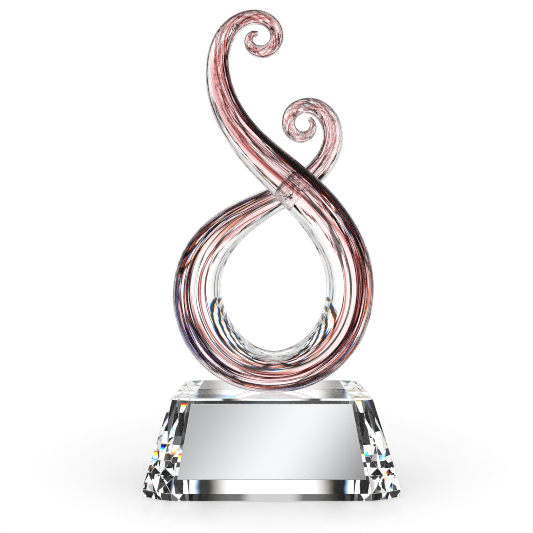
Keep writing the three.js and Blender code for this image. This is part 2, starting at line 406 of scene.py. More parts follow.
@dataclass(frozen=True)
class AdhesiveFilm:
    """A thin film of adhesive, slightly cloudy."""

    name: str
    colour: Colour
    roughness: float
    transmission: float
    ior: float = 1.5
    cloud_scale: float = 120.0
    cloud_detail: float = 2.0
    cloud_depth: float = 0.1

    def material(self) -> bpy.types.Material:
        """Builds the film, slightly uneven in gloss.

        Returns:
            The material.
        """
        material, graph = new_material(self.name)
        place = graph.node("ShaderNodeTexCoord", output="Object")
        cloud = graph.noise(place, self.cloud_scale, self.cloud_detail)
        inputs = {
            "Base Color": (*self.colour, 1.0),
            "Roughness": self.roughness + cloud * self.cloud_depth,
            "Transmission Weight": self.transmission,
            "IOR": self.ior,
        }
        graph.finish(graph.node("ShaderNodeBsdfPrincipled", None, inputs))
        return material


PALE_TAPE = AdhesiveFilm("pale_tape", (0.87, 0.87, 0.87), roughness=0.4, transmission=0.0)
CLEAR_BOND = AdhesiveFilm("clear_bond", (0.98, 0.98, 0.97), roughness=0.0, transmission=1.0)


@dataclass(frozen=True)
class Station:
    """A place along a limb of the rod.

    Attributes:
        run: the run from the station before, in pitches.
        bend: the turn per pitch there, in degrees, positive round the loop.
        taper: the diameter there, as a share of the limb's thickest.
        wind: how far the colour has wound round the rod, in degrees.
    """

    run: float
    bend: float
    taper: float
    wind: float


@dataclass
class RodPoint:
    """One point of the rod's centreline, with its section.

    Attributes:
        run: the run to it from the foot or, once the limbs are joined, from the front limb's tip.
        place: where it lies.
        heading: the way of its limb there, in radians from level.
        radius: the rod's radius.
        wind: how far the colour has wound round the rod, in degrees.
        behind: how far the other limb passes before it, from 0 to 1.
        frame: the frame of its section.
    """

    run: float
    place: Vector
    heading: float
    radius: float
    wind: float
    behind: float = 0.0
    frame: Matrix = field(default_factory=Matrix)


@dataclass
class RodRoute:
    """The route of the glass rod, walked out from its foot along each limb, as the solids have it.

    Attributes:
        foot_height: the height of the ground foot.
        pitch: the length that the stations' runs and bends count in.
        foot_diameter: the rod's diameter over its foot.
        front_diameter: the thickest diameter of the limb that passes in front.
        back_diameter: the thickest diameter of the other limb.
        foot_bend: the turn per pitch at the foot, in degrees.
        foot_grind: how deep the foot is ground away.
        foot_offset: how far the foot stands to the right of the base's middle.
        foot_forward: how far it stands before it.
        crossing_gap: the gap at which the limbs pass each other.
        crossing_reach: how far from there, along the back limb, it counts as behind the other.
        behind_gain: how steeply that falls off.
        front_lean: how far the front limb leans forward.
        step: the longest step of the walk.
        front_limb: the stations of the front limb.
        back_limb: the stations of the back limb.
    """

    foot_height: float
    pitch: float = 0.010
    foot_diameter: float = 0.026
    front_diameter: float = 0.0295
    back_diameter: float = 0.032
    foot_bend: float = 13.0
    foot_grind: float = 0.0012
    foot_offset: float = 0.001
    foot_forward: float = 0.008
    crossing_gap: float = 0.0005
    crossing_reach: float = 0.024
    behind_gain: float = 1.8
    front_lean: float = 0.004
    step: float = 0.001
    front_limb: tuple[Station, ...] = (
        Station(5, 11, 1, 0),
        Station(5, 8.5, 1, 0),
        Station(5, 2.5, 0.915, -10),
        Station(5, -6, 0.71, 0),
        Station(5, -11, 0.49, 30),
        Station(3.5, -29.5, 0.31, 150),
        Station(2.5, -56, 0.29, 190),
        Station(2, -66, 0.24, 240),
        Station(1.4, -161, 0.11, 270),
    )
    back_limb: tuple[Station, ...] = (
        Station(5, 10.5, 1, 0),
        Station(5, 12, 0.89, 0),
        Station(6, 0.5, 0.53, 0),
        Station(4, -13.5, 0.45, 10),
        Station(3, -27, 0.4, 30),
        Station(2.5, -45, 0.31, 90),
        Station(2.5, -68, 0.25, 210),
        Station(1.9, -93, 0.095, 300),
    )

    def points(self) -> list[RodPoint]:
        """Walks the whole rod.

        Returns:
            Its points from the front limb's tip, through the foot, to the back limb's tip.
        """
        front = self._walk(self.front_limb, self.front_diameter, 1)
        back = self._walk(self.back_limb, self.back_diameter, -1)
        front_cross, back_cross = self._crossing(front, back)
        apart = front_cross.radius + back_cross.radius + self.crossing_gap
        self._lean(front, front_cross.run, -self.front_lean)
        self._lean(back, back_cross.run, apart - self.front_lean)
        for point in back:
            nearness = 1.0 - abs(point.run - back_cross.run) / self.crossing_reach
            point.behind = min(1.0, max(0.0, self.behind_gain * nearness))
        joined = front[::-1] + back[1:]
        length = front[-1].run
        for i, point in enumerate(joined):
            ahead = joined[min(i + 1, len(joined) - 1)].place
            behind = joined[max(i - 1, 0)].place
            point.frame = self._section(point.place, ahead - behind)
            point.run = length - point.run if i < len(front) else length + point.run
        return joined

    def _walk(self, limb: Sequence[Station], thickest: float, side: int) -> list[RodPoint]:
        """Walks one limb in the XZ plane, with a bend that changes steadily between stations.

        Args:
            limb: the limb's stations.
            thickest: its thickest diameter.
            side: 1 for the limb that leaves the foot towards +X, -1 for the other.

        Returns:
            The limb's points from the foot to the tip.
        """
        stations = [Station(0, self.foot_bend, self.foot_diameter / thickest, 0), *limb]
        ends = [0.0]
        for station in limb:
            ends.append(ends[-1] + station.run * self.pitch)
        taper = smooth_reading(ends, [station.taper for station in stations])
        wind = smooth_reading(ends, [station.wind for station in stations])
        place = Vector((self.foot_offset, 0.0, self.foot_height - self.foot_grind + self.foot_diameter / 2))
        heading = 0.0
        points = []
        for i, end in enumerate(ends[1:]):
            steps = math.ceil((end - ends[i]) / self.step)
            run = (end - ends[i]) / steps
            for k in range(steps):
                at = ends[i] + k * run
                points.append(RodPoint(at, place.copy(), heading, taper(at) * thickest / 2, wind(at)))
                share = (k + 0.5) / steps
                bend = stations[i].bend + (stations[i + 1].bend - stations[i].bend) * share
                turn = math.radians(bend) * run / self.pitch
                middle = heading + turn / 2
                place = place + Vector((side * run * math.cos(middle), 0.0, run * math.sin(middle)))
                heading += turn
        tip = stations[-1]
        points.append(RodPoint(ends[-1], place, heading, tip.taper * thickest / 2, tip.wind))
        return points

    @staticmethod
    def _crossing(front: list[RodPoint], back: list[RodPoint]) -> tuple[RodPoint, RodPoint]:
        """Finds where the limbs pass each other, past the loop's sides.

        Args:
            front: the points of the front limb.
            back: the points of the back limb.

        Returns:
            The nearest pair of points, one on each limb.
        """
        climbing = [[p for p in limb if p.heading > math.pi / 2] for limb in (front, back)]
        pairs = ((a, b) for a in climbing[0] for b in climbing[1])
        return min(pairs, key=lambda pair: (pair[0].place - pair[1].place).length_squared)

    def _lean(self, limb: list[RodPoint], crossing: float, lean: float) -> None:
        """Leans a limb out of the loop's plane until the crossing, and keeps it there."""
        for point in limb:
            share = min(point.run / crossing, 1.0)
            point.place.y = lean * share * share * (3 - 2 * share) - self.foot_forward

    @staticmethod
    def _section(place: Vector, along: Vector) -> Matrix:
        """The frame of a section: x to the loop's outer side, y across, z along the rod."""
        along = along.normalized()
        out = Vector((-along.z, 0.0, along.x)).normalized()
        across = along.cross(out)
        frame = Matrix((out, across, along)).transposed().to_4x4()
        frame.translation = place
        return frame


def smooth_reading(places: Sequence[float], values: Sequence[float]) -> Callable[[float], float]:
    """Reads a smooth curve through values at given places.

    Args:
        places: rising places along a limb.
        values: the value at each place.

    Returns:
        A function from a place to the value there.
    """
    last = len(places) - 1

    def slope(i: int) -> float:
        """The slope at a value, drawn through its neighbours."""
        a, b = max(i - 1, 0), min(i + 1, last)
        return (values[b] - values[a]) / (places[b] - places[a])

    def read(place: float) -> float:
        """The value at one place."""
        i = next((k for k in range(1, last) if places[k] >= place), last)
        run = places[i] - places[i - 1]
        t = (place - places[i - 1]) / run
        ease = t * t * (3 - 2 * t)
        pull = run * (slope(i - 1) * t * (1 - t) ** 2 - slope(i) * t * t * (1 - t))
        return values[i - 1] + (values[i] - values[i - 1]) * ease + pull

    return read


def new_object(name: str, mesh: bmesh.types.BMesh, material: bpy.types.Material) -> bpy.types.Object:
    """Makes an object of a finished bmesh, at the origin.

    Args:
        name: the piece's name.
        mesh: the bmesh, which is freed.
        material: its finish.

    Returns:
        The linked object.
    """
    data = bpy.data.meshes.new(name)
    mesh.to_mesh(data)
    mesh.free()
    data.materials.append(material)
    made = bpy.data.objects.new(name, data)
    bpy.context.scene.collection.objects.link(made)
    return made


def flat_copy(node: bpy.types.Object) -> bmesh.types.BMesh:
    """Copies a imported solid, merged, with one face for each flat of it.

    Args:
        node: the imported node.

    Returns:
        The copy.
    """
    mesh = bmesh.new()
    mesh.from_mesh(node.data)
    bmesh.ops.remove_doubles(mesh, verts=mesh.verts, dist=MERGE_GAP)
    bmesh.ops.dissolve_limit(mesh, angle_limit=math.radians(FLAT_TURN), verts=mesh.verts, edges=mesh.edges)
    return mesh


def polish_edges(mesh: bmesh.types.BMesh, width: float, segments: int) -> None:
    """Rounds every edge of a flat-sided solid."""
    bmesh.ops.bevel(
        mesh,
        geom=mesh.edges,
        offset=width,
        affect="EDGES",
        segments=segments,
        profile=0.5,
        material=-1,
        clamp_overlap=True,
    )
    bmesh.ops.recalc_face_normals(mesh, faces=mesh.faces)


def sweep_ring(
    mesh: bmesh.types.BMesh,
    frames: Sequence[Matrix],
    sides: int,
) -> list[list[bmesh.types.BMVert]]:
    """Sweeps a unit circle through frames: a circle at the first, then an extrusion to each next one.

    Args:
        mesh: the bmesh that takes the tube.
        frames: the frame of each ring, with its radius as its scale.
        sides: the sides of the tube.

    Returns:
        The vertices of each ring, in the same order round the tube.
    """
    ring = bmesh.ops.create_circle(mesh, segments=sides, radius=1.0, matrix=frames[0])["verts"]
    rings = [ring]
    edges = list(dict.fromkeys(edge for vert in ring for edge in vert.link_edges))
    for before, after in zip(frames, frames[1:]):
        grown = bmesh.ops.extrude_edge_only(mesh, edges=edges)["geom"]
        fresh = {item for item in grown if isinstance(item, bmesh.types.BMVert)}
        edges = [e for e in grown if isinstance(e, bmesh.types.BMEdge) and set(e.verts) <= fresh]
        bmesh.ops.transform(mesh, matrix=after @ before.inverted(), verts=list(fresh))
        ring = [next(e.other_vert(v) for e in v.link_edges if e.other_vert(v) in fresh) for v in ring]
        rings.append(ring)
    return rings


def close_ends(mesh: bmesh.types.BMesh, rings: Sequence[Sequence[bmesh.types.BMVert]]) -> None:
    """Closes a tube at both ends with a face and turns its faces outwards."""
    for ring in (rings[0], rings[-1]):
        bmesh.ops.contextual_create(mesh, geom=list(ring))
    bmesh.ops.recalc_face_normals(mesh, faces=mesh.faces)


@dataclass
class GlassRod:
    """The clear rod, swept fine and round, with rounded tips and its ground foot.

    Attributes:
        route: the rod's route.
        glass: its finish.
        sides: the sides of the sweep.
        tip_steps: the steps of a tip's rounding.
        tip_flat: the small flat at the end of a tip, as a share of its radius.
        tip_length: how long the rounding is, in the same share.
        lay_run: the run that the lay counts for each pitch.
    """

    route: RodRoute
    glass: RodGlass = RodGlass()
    sides: int = 64
    tip_steps: int = 5
    tip_flat: float = 0.25
    tip_length: float = 0.6
    lay_run: float = 0.1

    def build(self, points: Sequence[RodPoint]) -> bpy.types.Object:
        """Builds the rod.

        Args:
            points: the rod's centreline.

        Returns:
            The rod's object.
        """
        mesh = bmesh.new()
        lay = mesh.verts.layers.float_vector.new(LAY)
        frames = [point.frame @ Matrix.Diagonal((point.radius, point.radius, 1.0, 1.0)) for point in points]
        winds = [math.radians(point.wind) for point in points]
        runs = [point.run for point in points]
        head, tail = self._tip(frames[0], -1), self._tip(frames[-1], 1)
        frames = [*reversed(head), *frames, *tail]
        winds = [winds[0]] * len(head) + winds + [winds[-1]] * len(tail)
        runs = [runs[0]] * len(head) + runs + [runs[-1]] * len(tail)
        rings = sweep_ring(mesh, frames, self.sides)
        for ring, wind, run, frame in zip(rings, winds, runs, frames):
            inverse = frame.inverted()
            for vert in ring:
                spot = inverse @ vert.co
                angle = math.atan2(spot.y, spot.x) - wind
                run_share = run / self.route.pitch * self.lay_run
                vert[lay] = (run_share, math.cos(angle), math.sin(angle))
        close_ends(mesh, rings)
        self._grind_foot(mesh)
        for face in mesh.faces:
            face.smooth = True
        return new_object("looped_rod", mesh, self.glass.material())

    def _tip(self, end: Matrix, way: int) -> list[Matrix]:
        """The frames of a fire-polished tip beyond a limb's last ring.

        Args:
            end: the frame of the last ring.
            way: 1 to go on along the rod, -1 to go back.

        Returns:
            Frames that draw in to a small flat.
        """
        radius = end.col[0].length
        frames = []
        for k in range(1, self.tip_steps + 1):
            angle = k / self.tip_steps * math.acos(self.tip_flat)
            share = math.cos(angle)
            reach = end.col[2].to_3d().normalized() * way * radius * math.sin(angle) * self.tip_length
            shift = Matrix.Translation(reach)
            frames.append(shift @ end @ Matrix.Diagonal((share, share, 1.0, 1.0)))
        return frames

    def _grind_foot(self, mesh: bmesh.types.BMesh) -> None:
        """Cuts the foot flat where the rod is bonded to the base."""
        geometry = [*mesh.verts, *mesh.edges, *mesh.faces]
        level = Vector((0.0, 0.0, self.route.foot_height))
        cut = bmesh.ops.bisect_plane(
            mesh, geom=geometry, plane_co=level, plane_no=(0.0, 0.0, -1.0), clear_outer=True
        )
        edges = [item for item in cut["geom_cut"] if isinstance(item, bmesh.types.BMEdge)]
        bmesh.ops.contextual_create(mesh, geom=edges)


class ThreadKind(Enum):
    """The kinds of thread that the canes are drawn out into; the two rim kinds are painted shade, a dark
    outline along the rod's edges.
    """

    DARK = "dark_burgundy"
    ROSE = "rose"
    VEIL = "pale_veil"
    FLAME = "deep_flame"
    BAND = "stem_band"
    TRAIL = "back_band"
    EMBER = "ember_streak"
    FRONT_SHADE_LINE = "front_outline_shade"
    BACK_SHADE_LINE = "back_outline_shade"
    BLUSH = "back_veil"
    INK = "ink_streak"


@dataclass(frozen=True)
class ThreadStyle:
    """How the threads of one kind lie in the rod, in shares of its radius.

    Attributes:
        colour: the glass they are made of.
        counts: how many a cane holds, from the canes on the loop's outer side to the last ones round.
        width: their least and greatest half width.
        depth: their least and greatest distance from the rod's axis.
        length: their least and greatest length, as a share of the rod's.
        flatness: their thickness as a share of their width.
        strength: how strong their colour is where the rod is thickest, and near its tips.
        start: where they start along the run that their length leaves free, at least and at most.
        drift: how far they slant round the rod over their length, in degrees, at most.
        edged: whether they keep to the rod's two edges instead of winding with their cane; such threads are
            painted shade, the dark outline of the rod's edges.
    """

    colour: ColourGlass
    counts: tuple[int, int, int, int]
    width: Span
    depth: Span
    length: Span
    flatness: float = 1.0
    strength: Span = (1.0, 1.0)
    start: Span = (-1.2, 2.2)
    drift: float = 0.0
    edged: bool = False


def thread_styles() -> dict[ThreadKind, ThreadStyle]:
    """The styles of the award's threads, in the order in which their chance values are drawn.

    Returns:
        A style for each kind of thread.
    """
    amber, blue = (1.0, 0.6, 0.28), (0.35, 0.52, 0.95)
    dark = ColourGlass("burgundy_thread_glass", (0.3, 0.035, 0.05), streak=0.12)
    rose = ColourGlass("rose_thread_glass", (0.72, 0.3, 0.28), streak=0.4, soft=0.5)
    veil = ColourGlass("rose_veil_glass", (0.93, 0.72, 0.72), streak=0.4, soft=0.9)
    flame = ColourGlass("deep_flame_glass", (0.26, 0.03, 0.06), streak=0.2, fringes=(amber, blue))
    ember = ColourGlass("ember_streak_glass", (1.0, 0.52, 0.25), streak=0.2)
    ink = ColourGlass("ink_streak_glass", (0.2, 0.26, 0.5), streak=0.2)
    band = ColourGlass("stem_band_glass", (0.26, 0.02, 0.035), streak=0.15)
    # The rim threads' glass is painted shade: the dark outline along the rod's edges.
    edge_shade = ColourGlass("painted_outline_glass", (0.3, 0.035, 0.05), streak=0.3)
    return {
        ThreadKind.DARK: ThreadStyle(
            dark, (2, 2, 1, 1), width=(0.012, 0.024), depth=(0.45, 0.68), length=(0.5, 0.9),
            flatness=0.9, strength=(0.85, 0.45), start=(-0.5, 1.5),
        ),
        ThreadKind.ROSE: ThreadStyle(
            rose, (1, 1, 1, 1), width=(0.02, 0.05), depth=(0.4, 0.66), length=(0.5, 1.0),
            flatness=0.5, strength=(0.8, 0.8),
        ),
        ThreadKind.VEIL: ThreadStyle(
            veil, (2, 2, 2, 2), width=(0.1, 0.2), depth=(0.4, 0.58), length=(0.5, 1.0),
            flatness=0.14, strength=(0.1, 0.85),
        ),
        ThreadKind.FLAME: ThreadStyle(
            flame, (4, 4, 0, 0), width=(0.035, 0.075), depth=(0.5, 0.66), length=(0.06, 0.12),
            strength=(0.75, 0.85), start=(0.28, 0.78), drift=40.0,
        ),
        ThreadKind.BAND: ThreadStyle(
            band, (2, 0, 0, 0), width=(0.05, 0.08), depth=(0.5, 0.6), length=(0.2, 0.28),
            start=(0.14, 0.19),
        ),
        ThreadKind.TRAIL: ThreadStyle(
            band, (2, 1, 0, 0), width=(0.03, 0.055), depth=(0.5, 0.6), length=(0.12, 0.16),
            strength=(0.9, 0.9), start=(0.84, 0.9),
        ),
        ThreadKind.EMBER: ThreadStyle(
            ember, (4, 3, 0, 0), width=(0.02, 0.035), depth=(0.52, 0.68), length=(0.05, 0.1),
            start=(0.28, 0.78), drift=40.0,
        ),
        # The two rim kinds are painted shade: dark threads along the rod's edges that draw its outline.
        ThreadKind.FRONT_SHADE_LINE: ThreadStyle(
            edge_shade, (1, 0, 0, 0), width=(0.04, 0.05), depth=(0.62, 0.65), length=(0.24, 0.26),
            start=(0.0, 0.0), edged=True,
        ),
        ThreadKind.BACK_SHADE_LINE: ThreadStyle(
            edge_shade, (1, 0, 0, 0), width=(0.04, 0.05), depth=(0.6, 0.63), length=(0.13, 0.15),
            strength=(0.8, 0.8), start=(1.0, 1.0), edged=True,
        ),
        ThreadKind.BLUSH: ThreadStyle(
            veil, (1, 1, 0, 0), width=(0.12, 0.2), depth=(0.35, 0.58), length=(0.16, 0.22),
            flatness=0.14, strength=(0.4, 0.8), start=(1.0, 1.0),
        ),
        ThreadKind.INK: ThreadStyle(
            ink, (4, 3, 0, 0), width=(0.02, 0.04), depth=(0.52, 0.68), length=(0.05, 0.1),
            start=(0.28, 0.78), drift=40.0,
        ),
    }


@dataclass
class ColourThreads:
    """The threads and veils of colour, with dark threads along the rod's edges that are painted shade: for
    each cane of the solids, one bundle of each kind.

    Attributes:
        styles: the style of each kind.
        canes: the number of canes.
        spread: the angle that they take up round the rod, in degrees.
        stray: how far a thread may lie from its cane's middle, in canes.
        sides: the sides of a thread.
        every: a thread has one ring for so many points of the rod.
        seed: starts the chance values.
        sway: how far a thread sways round the rod, in degrees, at least and at most.
        wave: the run of one sway, at least and at most.
        wander: how far a thread's depth varies, as a share of it.
        wander_rate: how often it does, for one sway.
        tip_twist: the turns by which the colour winds on into a rope at the rod's tips.
        tip_reach: the run over which it does.
        tip_widen: how much wider the threads spread round the rod near its tips, as a share.
        pale_radius: the rod's radius below which the colour changes towards the tips.
        thinning: how fast it changes.
        finest: the least half width of a thread.
        finest_part: that width is at most the rod's radius divided by this.
        taper: the rings over which a thread draws in to its end.
        blunt: how blunt that end is, in rings.
        crossing_fade: the share of its colour that the rod loses where it passes behind itself.
        streak_run: the run of the streaks' noise in a metre.
        streak_shift: how far that noise is shifted for each radian of a thread's phase.
    """

    styles: dict[ThreadKind, ThreadStyle] = field(default_factory=thread_styles)
    canes: int = 8
    spread: float = 220.0
    stray: float = 0.6
    sides: int = 8
    every: int = 3
    seed: int = 7
    sway: Span = (3.0, 9.0)
    wave: Span = (0.15, 0.4)
    wander: float = 0.05
    wander_rate: float = 1.7
    tip_twist: float = 1.6
    tip_reach: float = 0.07
    tip_widen: float = 0.6
    pale_radius: float = 0.015
    thinning: float = 1.6
    finest: float = 0.00026
    finest_part: float = 6.0
    taper: int = 8
    blunt: float = 0.6
    crossing_fade: float = 0.7
    streak_run: float = 30.0
    streak_shift: float = 9.0

    def build(self, points: Sequence[RodPoint]) -> list[bpy.types.Object]:
        """Builds all the bundles.

        Args:
            points: the rod's centreline.

        Returns:
            One object for each cane and kind of thread, in order.
        """
        draw = random.Random(self.seed)
        glasses = {style.colour.name: style.colour for style in self.styles.values()}
        materials = {name: glass.material() for name, glass in glasses.items()}
        path = list(points[:: self.every])
        made = []
        for cane in range(self.canes):
            step = cane - (self.canes - 1) / 2
            for kind, style in self.styles.items():
                mesh = bmesh.new()
                mesh.verts.layers.float_vector.new(LAY)
                mesh.verts.layers.float.new(DYE)
                for _ in range(style.counts[int(abs(step))]):
                    self._thread(mesh, path, style, self.spread / self.canes * step, draw)
                if mesh.faces:
                    bundle = new_object(f"cane_{cane + 1}_{kind.value}", mesh, materials[style.colour.name])
                    bundle["cane"] = cane + 1
                    made.append(bundle)
        return made

    def _thinness(self, point: RodPoint) -> float:
        """How far the rod has been drawn out at a point: 0 where it is thickest, 1 near its tips."""
        return min(1.0, max(0.0, (1.0 - point.radius / self.pale_radius) * self.thinning))

    def _twist(self, point: RodPoint, whole: float) -> float:
        """How far the colour has wound at a point: with the canes, and on into a rope at the tips."""
        near = min(point.run, whole - point.run) / self.tip_reach
        rope = self.tip_twist * 2 * math.pi * max(0.0, 1.0 - near) ** 2
        return math.radians(point.wind) + rope

    def _thread(
        self,
        mesh: bmesh.types.BMesh,
        path: Sequence[RodPoint],
        style: ThreadStyle,
        middle: float,
        draw: random.Random,
    ) -> None:
        """Adds one thread, which wanders a little as it follows the rod.

        Args:
            mesh: the bundle's bmesh.
            path: points of the rod's centreline.
            style: the thread's style.
            middle: the angle of its cane, in degrees from the loop's outer side.
            draw: the source of its chance values.
        """
        pitch = self.spread / self.canes
        angle = math.radians(middle + draw.uniform(-self.stray, self.stray) * pitch)
        edge = 0.0 if middle < 0.0 else math.pi
        depth = draw.uniform(*style.depth)
        width = draw.uniform(*style.width)
        sway = math.radians(draw.uniform(*self.sway))
        wave = draw.uniform(*self.wave)
        phase = draw.uniform(0, 2 * math.pi)
        length = int(draw.uniform(*style.length) * (len(path) - 1))
        first = min(max(int(draw.uniform(*style.start) * (len(path) - length)), 0), len(path) - 1 - length)
        drift = math.radians(draw.uniform(-style.drift, style.drift))
        last = min(first + length, len(path) - 1)
        lead = first - (0 if first else self.taper)
        trail = last + (self.taper if last == len(path) - 1 else 0)
        frames = []
        for i in range(first, last + 1):
            point = path[i]
            swing = 2 * math.pi * point.run / wave
            # A rim thread keeps to the rod's edge, where it paints the dark outline as shade.
            if style.edged:
                turn = edge + sway * math.sin(swing + phase)
            else:
                widened = angle * (1.0 + self.tip_widen * self._thinness(point))
                turn = widened + sway * math.sin(swing + phase)
                turn += self._twist(point, path[-1].run)
                turn += drift * ((i - first) / length - 0.5)
            share = depth * (1 + self.wander * math.sin(swing * self.wander_rate + phase)) * point.radius
            fade = min(1.0, (i - lead + self.blunt) / self.taper, (trail - i + self.blunt) / self.taper)
            half = max(width * point.radius, min(self.finest, point.radius / self.finest_part)) * fade
            spot = Matrix.Rotation(turn, 4, "Z") @ Matrix.Translation((share, 0.0, 0.0))
            frames.append(point.frame @ spot @ Matrix.Diagonal((half * style.flatness, half, 1.0, 1.0)))
        self._draw_out(mesh, frames, path[first:], style.strength, phase)

    def _draw_out(
        self,
        mesh: bmesh.types.BMesh,
        frames: Sequence[Matrix],
        path: Sequence[RodPoint],
        strength: Span,
        phase: float,
    ) -> None:
        """Adds a thread's closed tube to its bundle, with its lay and the strength of its colour.

        Args:
            mesh: the bundle's bmesh.
            frames: the frame of each of the thread's rings.
            path: the rod's points from the thread's first ring on.
            strength: the strength of its colour where the rod is thickest, and near its tips.
            phase: sets its streaks apart from other threads'.
        """
        tube = bmesh.new()
        lay = tube.verts.layers.float_vector.new(LAY)
        dye = tube.verts.layers.float.new(DYE)
        rings = sweep_ring(tube, frames, self.sides)
        close_ends(tube, rings)
        thick, thin = strength
        for ring, point in zip(rings, path):
            colour = thick + (thin - thick) * self._thinness(point)
            for k, vert in enumerate(ring):
                around = 2 * math.pi * k / self.sides
                run = point.run * self.streak_run + phase * self.streak_shift
                vert[lay] = (run, math.cos(around), math.sin(around))
                vert[dye] = colour * (1.0 - self.crossing_fade * point.behind)
        for face in tube.faces:
            face.smooth = True
        data = bpy.data.meshes.new("thread")
        tube.to_mesh(data)
        tube.free()
        mesh.from_mesh(data)
        bpy.data.meshes.remove(data)


@dataclass
class CrystalBase:
    """The cut crystal base: its facets as packed, the corner ones cut into shallow diamonds.

    Attributes:
        node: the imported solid.
        crystal: its finish.
        edge: the width of the fine polished edge between facets.
        edge_segments: the steps of that edge's rounding.
        cut_levels: the heights of the diamonds' rows.
        cut_depth: the greatest depth of a diamond below the highest row.
        tall_depth: the greatest depth of the tall diamonds above it.
        least_depth: the least depth of a diamond, as a share of its greatest.
        corner_turn: how far a corner facet is turned from the front, in degrees, at least and at most.
        corner_lean: how far up its normal leans, at least and at most.
        end_columns: where the top's ends are parted along the base.
        end_rows: where they are parted across it.
        end_depth: the greatest depth of the diamonds there.
        seed: starts the chance values of the diamonds.
    """

    node: bpy.types.Object
    crystal: CutCrystal = CutCrystal()
    edge: float = 0.0005
    edge_segments: int = 2
    cut_levels: tuple[float, ...] = (0.014, 0.031)
    cut_depth: float = 0.0008
    tall_depth: float = 0.00025
    least_depth: float = 0.5
    corner_turn: Span = (8.0, 60.0)
    corner_lean: Span = (0.02, 0.5)
    end_columns: tuple[float, ...] = (-0.0555, -0.047, 0.047, 0.0555)
    end_rows: tuple[float, ...] = (-0.011, 0.011)
    end_depth: float = 0.0008
    seed: int = 3

    def build(self) -> bpy.types.Object:
        """Builds the base from a copy of its solid.

        Returns:
            The base's object.
        """
        mesh = flat_copy(self.node)
        draw = random.Random(self.seed)
        levels = [((0.0, 0.0, level), (0.0, 0.0, 1.0)) for level in self.cut_levels]
        for facet in [face for face in mesh.faces if self._is_corner(face.normal)]:
            inwards = -facet.normal
            cells = self._part(mesh, facet, levels)
            low = [cell for cell in cells if cell.calc_center_median().z < self.cut_levels[-1]]
            tall = [cell for cell in cells if cell not in low]
            self._cut_diamonds(mesh, low, inwards, self.cut_depth, draw)
            self._cut_diamonds(mesh, tall, inwards, self.tall_depth, draw)
        top = max(mesh.faces, key=lambda face: face.calc_center_median().z)
        columns = [((place, 0.0, 0.0), (1.0, 0.0, 0.0)) for place in self.end_columns]
        rows = [((0.0, place, 0.0), (0.0, 1.0, 0.0)) for place in self.end_rows]
        cells = self._part(mesh, top, columns)
        nearest = min(abs(place) for place in self.end_columns)
        down = Vector((0.0, 0.0, -1.0))
        for end in [cell for cell in cells if abs(cell.calc_center_median().x) > nearest]:
            self._cut_diamonds(mesh, self._part(mesh, end, rows), down, self.end_depth, draw)
        polish_edges(mesh, self.edge, self.edge_segments)
        return new_object("faceted_base", mesh, self.crystal.material())

    def _is_corner(self, normal: Vector) -> bool:
        """Tells the corner facets from the others by the way they face."""
        turn = math.degrees(math.atan2(abs(normal.x), abs(normal.y)))
        turned = self.corner_turn[0] < turn < self.corner_turn[1]
        return turned and self.corner_lean[0] < normal.z < self.corner_lean[1]

    @staticmethod
    def _part(
        mesh: bmesh.types.BMesh,
        facet: bmesh.types.BMFace,
        planes: Sequence[tuple[Sequence[float], Sequence[float]]],
    ) -> list[bmesh.types.BMFace]:
        """Parts one facet along planes.

        Args:
            mesh: the base.
            facet: the facet.
            planes: a point and a normal of each plane.

        Returns:
            The faces that the facet became.
        """
        cells = [facet]
        for place, normal in planes:
            edges = dict.fromkeys(edge for cell in cells for edge in cell.edges)
            verts = dict.fromkeys(vert for cell in cells for vert in cell.verts)
            cut = bmesh.ops.bisect_plane(
                mesh, geom=[*verts, *edges, *cells], plane_co=place, plane_no=normal, dist=CUT_GAP
            )
            cells = [item for item in cut["geom"] if isinstance(item, bmesh.types.BMFace)]
        return cells

    def _cut_diamonds(
        self,
        mesh: bmesh.types.BMesh,
        cells: Sequence[bmesh.types.BMFace],
        inwards: Vector,
        deepest: float,
        draw: random.Random,
    ) -> None:
        """Cuts each cell of a facet into a shallow diamond.

        Args:
            mesh: the base.
            cells: the facet's cells.
            inwards: the way into the crystal.
            deepest: the greatest depth of a diamond.
            draw: the source of the diamonds' depths.
        """
        points = bmesh.ops.poke(mesh, faces=list(cells), offset=0.0, center_mode="MEAN_WEIGHTED")["verts"]
        for point in points:
            depth = deepest * draw.uniform(self.least_depth, 1.0)
            bmesh.ops.translate(mesh, vec=inwards * depth, verts=[point])


@dataclass
class EngravingPlate:
    """The bare silver plate, with a rounded edge."""

    node: bpy.types.Object
    silver: SatinSilver = SatinSilver()
    edge: float = 0.0003
    edge_segments: int = 3

    def build(self) -> bpy.types.Object:
        """Builds the plate from a copy of its solid.

        Returns:
            The plate's object.
        """
        mesh = flat_copy(self.node)
        polish_edges(mesh, self.edge, self.edge_segments)
        return new_object("silver_plate", mesh, self.silver.material())


def seen_by_glass(graph: ShaderGraph) -> Value:
    """Tells whether a ray comes from glass or gloss.

    Args:
        graph: the graph of a stage material or of the world.

    Returns:
        1 for such a ray, otherwise 0.
    """
    glossy, through = graph.ray_is("Glossy"), graph.ray_is("Transmission")
    return glossy + through - glossy * through


def add_square(mesh: bmesh.types.BMesh, half: float, matrix: Matrix) -> None:
    """Adds a square to a bmesh, given by half its side."""
    bmesh.ops.create_grid(mesh, x_segments=1, y_segments=1, size=half, matrix=matrix)


def upright(place: Sequence[float]) -> Matrix:
    """The frame of a square that stands upright at a place and faces front and back."""
    return Matrix.Translation(place) @ Matrix.Rotation(math.pi / 2, 4, "X")


